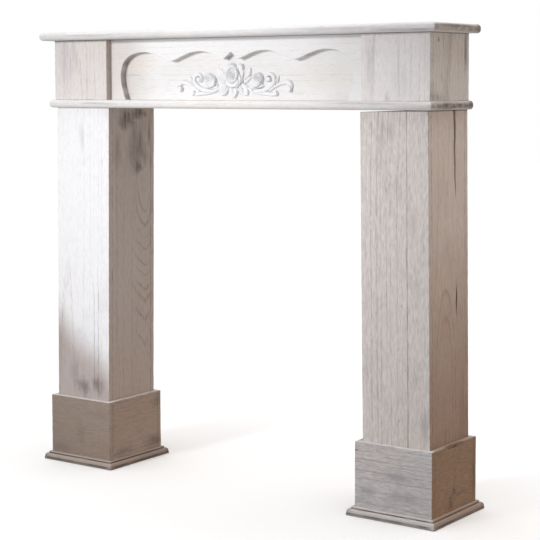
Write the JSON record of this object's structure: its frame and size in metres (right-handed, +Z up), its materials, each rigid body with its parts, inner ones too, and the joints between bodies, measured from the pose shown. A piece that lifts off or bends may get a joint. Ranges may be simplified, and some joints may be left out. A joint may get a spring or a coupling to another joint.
{
  "type": "fireplace mantelpiece",
  "caption": "Whitewashed wooden fireplace mantelpiece with box legs on plinths, a moulded ledge, a scalloped frieze with a carved rose spray, and a deep shelf.",
  "frame": {"origin": "on the floor, under the middle of the whole piece", "axes": "+X to the right along the shelf, +Y back towards the wall, +Z up; the front looks along -Y"},
  "size_m": [1.056, 0.212, 1],
  "materials": {
    "shelf_and_ledge": "whitewashed softwood with rubbed edges",
    "header_boards": "whitewashed softwood, soft grain",
    "leg_boards": "whitewashed softwood, upright grain",
    "plinth_boards": "thin whitewash rubbed back, with a knot",
    "base_mouldings": "rubbed whitewash, dark at the edges",
    "cast_ornament": "cast ornament under white paint"
  },
  "bodies": {
    "root": {"mantel_shelf": "shelf_and_ledge", "ledge_board": "shelf_and_ledge", "scalloped_frieze_board": "header_boards", "frieze_back_panel": "header_boards", "header_back_board": "header_boards", "rose_ornament": "cast_ornament", "left_block_front_board": "header_boards", "left_block_back_board": "header_boards", "left_block_inner_board": "header_boards", "left_block_outer_board": "header_boards", "right_block_front_board": "header_boards", "right_block_back_board": "header_boards", "right_block_inner_board": "header_boards", "right_block_outer_board": "header_boards", "left_leg_front_board": "leg_boards", "left_leg_back_board": "leg_boards", "left_leg_inner_board": "leg_boards", "left_leg_outer_board": "leg_boards", "right_leg_front_board": "leg_boards", "right_leg_back_board": "leg_boards", "right_leg_inner_board": "leg_boards", "right_leg_outer_board": "leg_boards", "left_plinth_front_board": "plinth_boards", "left_plinth_back_board": "plinth_boards", "left_plinth_inner_board": "plinth_boards", "left_plinth_outer_board": "plinth_boards", "right_plinth_front_board": "plinth_boards", "right_plinth_back_board": "plinth_boards", "right_plinth_inner_board": "plinth_boards", "right_plinth_outer_board": "plinth_boards", "left_base_moulding_front": "base_mouldings", "left_base_moulding_back": "base_mouldings", "left_base_moulding_inner": "base_mouldings", "left_base_moulding_outer": "base_mouldings", "right_base_moulding_front": "base_mouldings", "right_base_moulding_back": "base_mouldings", "right_base_moulding_inner": "base_mouldings", "right_base_moulding_outer": "base_mouldings"}
  },
  "joints": []
}
